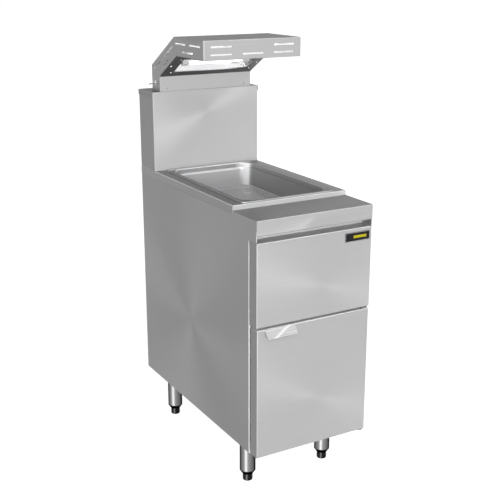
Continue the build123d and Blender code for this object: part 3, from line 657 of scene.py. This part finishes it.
dress(side_steel, "side_panel_left", "side_panel_right")
dress(crank_steel, "gantry_side_left", "gantry_side_right")
dress(panel_steel, "front_panel")
dress(door_steel, "door_skin")
dress(splash_steel, "splash_wrap")
dress(deck_steel, "deck_panel")
dress(ledge_steel, "ledge_panel")
dress(cap_steel, "splash_cap")
dress(plain_steel, "door_liner", "rear_panel", "splash_rear", "base_panel")
dress(rail_steel, "front_rail_upper", "front_rail_middle")
dress(pull_steel, "door_pull")
dress(cover_steel, "gantry_cover")
dress(lining_steel, "gantry_lining")
dress(pan_steel, "food_pan")
dress(insert_steel, "pan_insert")
dress(bright_steel, "slope_reflector")
dress(satin_steel, "hood_reflector", "hinge_bracket_lower")
dress(dull_steel, "leg_bolts", "hinge_bracket_upper", "hinge_pin_upper", "hinge_pin_lower")
dress(dull_steel, "door_keeper", "gantry_brackets", "lamp_conduit")
dress_legs(leg_steel, "leg_tube")
dress_legs(dull_steel, "leg_plate")
dress_legs(foot_plastic, "leg_foot")
dress(black_plastic, "door_bush_upper", "door_bush_lower", "magnet_catch", "cable_gland")
dress(switch_case, "switch_body")
dress(grey_plastic, "terminal_box", "terminal_lid")
dress(black_rubber, "door_bumpers")
dress(ceramic, "slope_lamp_holders", "hood_lamp_holders")
dress(lamp_quartz, "slope_lamp", "hood_lamp")
dress(nut_chrome, "switch_nut")
dress(chrome, "switch_lever")
dress(badge_face, "badge_plate")


# New pieces: an object from a built mesh, riding on a body
def add_piece(name, bm, material, body, smooth=False):
    mesh = bpy.data.meshes.new(name)
    bm.normal_update()
    bm.to_mesh(mesh)
    bm.free()
    mesh.materials.append(material)
    for face in mesh.polygons:
        face.use_smooth = smooth
    piece = add_object(name, mesh)
    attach(piece, body)
    return piece


def rounded_outline(width, length, radius, steps):
    points = []
    for x, y, start in ((1, 1, 0), (-1, 1, 90), (-1, -1, 180), (1, -1, 270)):
        for step in range(steps + 1):
            turn = math.radians(start + 90 * step / steps)
            points.append(
                (
                    x * (width / 2 - radius) + radius * math.cos(turn),
                    y * (length / 2 - radius) + radius * math.sin(turn),
                )
            )
    return points


def circle(radius):
    turns = [math.tau * k / ROUND_STEPS for k in range(ROUND_STEPS)]
    return [(radius * math.cos(turn), radius * math.sin(turn)) for turn in turns]


def ring_faces(bm, lower, upper):
    count = len(lower)
    for i in range(count):
        j = (i + 1) % count
        bm.faces.new((lower[i], lower[j], upper[j], upper[i]))


# One cell of the perforation: a round hole in a hexagon, with as many points round each
def hole_cell(bm, x, y):
    outer = []
    inner = []
    for k in range(HOLE_SIDES):
        turn = math.radians(360 / HOLE_SIDES * k)
        far = HOLE_PITCH / math.sqrt(3) if k % 2 == 0 else HOLE_PITCH / 2
        outer.append(bm.verts.new((x + far * math.cos(turn), y + far * math.sin(turn), 0)))
        near = (x + HOLE_RADIUS * math.cos(turn), y + HOLE_RADIUS * math.sin(turn), 0)
        inner.append(bm.verts.new(near))
    ring_faces(bm, inner, outer)


# Staggered cells over the plate, as far as its margin allows
def hole_field(bm):
    column_pitch = HOLE_PITCH * math.sqrt(3) / 2
    rows = int(INSERT_LENGTH / HOLE_PITCH)
    columns = int(INSERT_WIDTH / column_pitch)
    reach = (INSERT_WIDTH / 2 - HOLE_MARGIN, INSERT_LENGTH / 2 - HOLE_MARGIN)
    corner = INSERT_CORNER - HOLE_MARGIN
    for column in range(-columns // 2, columns // 2 + 1):
        x = column * column_pitch
        for row in range(-rows // 2 - 1, rows // 2 + 2):
            y = (row + 0.5 * (column % 2)) * HOLE_PITCH
            past = (max(abs(x) - reach[0] + corner, 0), max(abs(y) - reach[1] + corner, 0))
            if math.hypot(*past) <= corner:
                hole_cell(bm, x, y)
    bmesh.ops.remove_doubles(bm, verts=bm.verts, dist=HOLE_PITCH / 100)


# Rolled edge of the plate, from its flat top down to its lip; its upper ring is returned
def rolled_edge(bm):
    halfway = 0.29 * INSERT_BEND
    rings = []
    for inset, drop in ((INSERT_BEND, 0), (halfway, halfway), (0, INSERT_BEND), (0, INSERT_LIP)):
        size = (INSERT_WIDTH - 2 * inset, INSERT_LENGTH - 2 * inset)
        outline = rounded_outline(*size, INSERT_CORNER - inset, CORNER_STEPS)
        rings.append([bm.verts.new((x, y, -drop)) for x, y in outline])
    for upper, lower in zip(rings, rings[1:]):
        ring_faces(bm, lower, upper)
    return rings[0]


# Foot pressed into the plate, by its radii and their drops as shares of its height
FOOT_PROFILE = ((0.011, 0), (0.0095, -0.2), (0.0068, -0.85), (0.006, -0.96), (0.0045, -1.0))


def formed_foot(bm, x, y):
    height = INSERT_TOP - PAN_FLOOR - INSERT_SHEET
    rings = []
    for radius, drop in FOOT_PROFILE:
        z = drop * height - INSERT_SHEET
        rings.append([bm.verts.new((x + across, y + along, z)) for across, along in circle(radius)])
    for upper, lower in zip(rings, rings[1:]):
        ring_faces(bm, lower, upper)
    bm.faces.new(list(reversed(rings[-1])))
    bm.faces.new(rings[0])


# Perforated false bottom: staggered round holes in a plate with a rolled lip, on four formed feet
def perforated_plate():
    bm = bmesh.new()
    hole_field(bm)
    # A hole's own edges are shorter than this, and those round the field are longer
    hole_edge = 0.6 * HOLE_RADIUS
    around = [e for e in bm.edges if e.is_boundary and e.calc_length() > hole_edge]
    top = rolled_edge(bm)
    rim = [bm.edges.get((a, b)) for a, b in zip(top, top[1:] + top[:1])]
    bmesh.ops.triangle_fill(bm, edges=around + rim, use_beauty=True)
    bmesh.ops.recalc_face_normals(bm, faces=bm.faces)
    if sum(f.normal.z * f.calc_area() for f in bm.faces) < 0:
        bmesh.ops.reverse_faces(bm, faces=bm.faces)
    bmesh.ops.solidify(bm, geom=list(bm.faces), thickness=INSERT_SHEET)
    for x in (-INSERT_WIDTH / 4, INSERT_WIDTH / 4):
        for y in (-INSERT_LENGTH / 4, INSERT_LENGTH / 4):
            formed_foot(bm, x, y)
    bmesh.ops.translate(bm, verts=bm.verts, vec=(0, PAN_CENTRE, INSERT_TOP))
    return bm


perforated = add_piece("perforated_bottom", perforated_plate(), insert_steel, "insert")
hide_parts("pan_insert")


# Screw head: a dome with a six-sided socket, its sizes as shares of its radius and height
DOME = ((1.0, 0.0), (1.0, 0.25), (0.93, 0.55), (0.75, 0.85), (0.52, 1.0))
HEAD_HEIGHT = 0.6
SOCKET_HALF = 0.36
SOCKET_LEVELS = (1.0, 0.35)


def socket_outline(radius):
    side = math.radians(60)
    points = []
    for k in range(ROUND_STEPS):
        turn = math.tau * k / ROUND_STEPS
        flat = SOCKET_HALF * radius / math.cos(turn % side - side / 2)
        points.append((flat * math.cos(turn), flat * math.sin(turn)))
    return points


def screw_head(bm, place, facing, radius):
    turn = Vector((0, 0, 1)).rotation_difference(Vector(facing)).to_matrix().to_4x4()
    at = Matrix.Translation(place) @ turn
    levels = [(circle(share * radius), rise) for share, rise in DOME]
    levels += [(socket_outline(radius), rise) for rise in SOCKET_LEVELS]
    rings = []
    for points, rise in levels:
        z = rise * HEAD_HEIGHT * radius
        rings.append([bm.verts.new(at @ Vector((x, y, z))) for x, y in points])
    for lower, upper in zip(rings, rings[1:]):
        ring_faces(bm, lower, upper)
    bm.faces.new(rings[-1])
    bm.faces.new(list(reversed(rings[0])))


def screws(name, places, radius, material):
    bm = bmesh.new()
    for place, facing in places:
        screw_head(bm, place, facing, radius)
    add_piece(name, bm, material, "cabinet")


DOWN = (0, 0, -1)
UP = (0, 0, 1)
FORWARD = (0, -1, 0)
BACKWARD = (0, 1, 0)


# Screws of the gantry: past a trough's end, up the slope from its knee, across the hood, at the
# slope's two sides, and across its foot
PAST_TROUGH = 0.009
SLOPE_SCREWS = (0.029, 0.123)
HOOD_SCREWS = (-0.047, 0.047)
EDGE_SCREWS = (-0.16, 0.16)
BASE_SCREWS = (-0.145, 0.145)

# Rows of screws at the back: the places across, and the heights
CABINET_ROWS = ((-0.187, 0.187), (0.2, 0.43, 0.66, 0.88))
SPLASH_ROWS = ((-0.194, 0.194), (0.96, 1.14))
GANTRY_ROWS = ((-0.166, 0.166), (SPLASH_TOP + 0.015,))

# Middle of the terminal box's lid, and its screws to each side of it
LID = (-0.12, REAR - 0.0477, 0.2729)
LID_ACROSS = (-0.042, 0.042)
LID_ALONG = (-0.0345, 0.0345)


def gantry_screw_places():
    along = Vector((0, -math.cos(CRANK), math.sin(CRANK)))
    knee = Vector((0, GANTRY_Y, KNEE_Z))
    reach = TROUGH_HALF + PAST_TROUGH
    on_slope = []
    on_hood = []
    for x in (LAMP_OFFSET - reach, LAMP_OFFSET + reach):
        for way in SLOPE_SCREWS:
            on_slope.append((knee + along * way + Vector((x, 0, 0)), SLOPE_FACING))
        for y in HOOD_SCREWS:
            on_hood.append((Vector((x, HOOD_MIDDLE + y, ELBOW_Z)), DOWN))
    for x in EDGE_SCREWS:
        on_slope.append((knee + along * SLOPE / 2 + Vector((x, 0, 0)), SLOPE_FACING))
    return on_slope + on_hood


def rear_screw_places():
    gantry_back = GANTRY_Y + GANTRY_THICKNESS
    places = []
    for y, rows in ((REAR, CABINET_ROWS), (REAR, SPLASH_ROWS), (gantry_back, GANTRY_ROWS)):
        across, heights = rows
        places += [((x, y, z), BACKWARD) for x in across for z in heights]
    return places


base_places = [((x, GANTRY_Y, SPLASH_TOP + 0.01), FORWARD) for x in BASE_SCREWS]
lid_corners = [(x, y) for x in LID_ACROSS for y in LID_ALONG]
lid_places = [((LID[0] + x, LID[1] + y, LID[2]), UP) for x, y in lid_corners]
screws("gantry_screws", gantry_screw_places(), radius=0.0034, material=chrome)
screws("base_screws", base_places, radius=0.0028, material=dull_steel)
screws("rear_screws", rear_screw_places(), radius=0.0038, material=dull_steel)
screws("lid_screws", lid_places, radius=0.003, material=dull_steel)


# Badge border: a slim bright frame round the bare plate, by its insets and heights above the face
BORDER = ((0.0006, 0.0), (0.0009, 0.0003), (0.0019, 0.0003), (0.0022, 0.0))
BORDER_STEPS = 6


def badge_frame():
    bm = bmesh.new()
    face = FRONT - BADGE_THICKNESS
    rings = []
    for inset, proud in BORDER:
        size = (BADGE_SIZE[0] - 2 * inset, BADGE_SIZE[1] - 2 * inset)
        outline = rounded_outline(*size, BADGE_CORNER - inset, BORDER_STEPS)
        rings.append([bm.verts.new((BADGE[0] + x, face - proud, BADGE[1] + z)) for x, z in outline])
    for outer, inner in zip(rings, rings[1:] + rings[:1]):
        ring_faces(bm, outer, inner)
    bmesh.ops.recalc_face_normals(bm, faces=bm.faces)
    return bm


add_piece("badge_border", badge_frame(), chrome, "cabinet", smooth=True)


# White surroundings, for camera, glossy and transmission rays only
def seen_rays(tree):
    rays = node(tree, "ShaderNodeLightPath")
    seen = math_node(tree, "MAXIMUM", rays.outputs["Is Camera Ray"], rays.outputs["Is Glossy Ray"])
    return math_node(tree, "MAXIMUM", seen, rays.outputs["Is Transmission Ray"])


# Floor: it glows white where it is seen, and is light grey to the lamps
FLOOR_REACH = 30
FLOOR_GLOW = 0.94
FLOOR_GREY = (0.6, 0.6, 0.6, 1.0)


def add_floor():
    corners = ((-1, -1), (1, -1), (1, 1), (-1, 1))
    square = [(x * FLOOR_REACH, y * FLOOR_REACH, 0) for x, y in corners]
    mesh = bpy.data.meshes.new("floor")
    mesh.from_pydata(square, [], [(0, 1, 2, 3)])
    material, tree = tree_of("floor")
    white = node(tree, "ShaderNodeEmission", {"Color": WHITE, "Strength": FLOOR_GLOW})
    lit = node(tree, "ShaderNodeBsdfDiffuse", {"Color": FLOOR_GREY})
    both = node(tree, "ShaderNodeAddShader", {0: white.outputs[0], 1: lit.outputs[0]})
    shares = {0: seen_rays(tree), 1: lit.outputs[0], 2: both.outputs[0]}
    output(tree, node(tree, "ShaderNodeMixShader", shares).outputs[0])
    mesh.materials.append(material)
    floor = add_object("floor", mesh)


# World: white where it is seen, and a weak fill light that fades from the horizon upwards
FILL_STRENGTH = 0.16
FILL_HEIGHTS = (0.1, 0.7)


def add_world():
    world = bpy.data.worlds.new("world")
    bpy.context.scene.world = world
    world.use_nodes = True
    tree = world.node_tree
    tree.nodes.clear()
    height = parts_of(tree, node(tree, "ShaderNodeTexCoord").outputs["Generated"])["Z"]
    strength = remap(tree, height, *FILL_HEIGHTS, FILL_STRENGTH, 0.0)
    seen = node(tree, "ShaderNodeBackground", {"Color": WHITE, "Strength": 1.0})
    fill = node(tree, "ShaderNodeBackground", {"Color": WHITE, "Strength": strength})
    shares = {0: seen_rays(tree), 1: fill.outputs[0], 2: seen.outputs[0]}
    mixed = node(tree, "ShaderNodeMixShader", shares)
    node(tree, "ShaderNodeOutputWorld", {"Surface": mixed.outputs[0]})


# Sun in front of the cabinet, turned to the right by an azimuth and raised by an elevation
def sun(name, azimuth, elevation, strength, spread_angle):
    data = bpy.data.lights.new(name, "SUN")
    data.energy = strength
    data.angle = math.radians(spread_angle)
    add_object(name, data, towards=direction(-azimuth, elevation))


# Lamplight inside the hood, which shows in the vents
def glow(name, place, facing, size, watts):
    data = bpy.data.lights.new(name, "AREA")
    data.shape = "RECTANGLE"
    data.size, data.size_y = size
    data.energy = watts
    add_object(name, data, place, facing)


add_floor()
add_world()
sun("key", -10, 2, 2.4, 20)
sun("front_high", -10, 40, 0.5, 20)
sun("fill_left", -80, 15, 0.9, 40)
sun("rim", 42, 42, 0.25, 12)
sun("rim_behind", -161, 30, 0.15, 12)
glow("glow_front", (0, HOOD_FRONT + 0.004, ELBOW_Z + 0.03), BACKWARD, (0.32, 0.05), 0.078)
glow("glow_back", (0.02, ELBOW_Y - 0.06, ELBOW_Z + 0.044), BACKWARD, (0.18, 0.026), 0.75)
glow("glow_right", (0.15, 0.045, ELBOW_Z + 0.022), AXIS_X, (0.13, 0.04), 0.009)
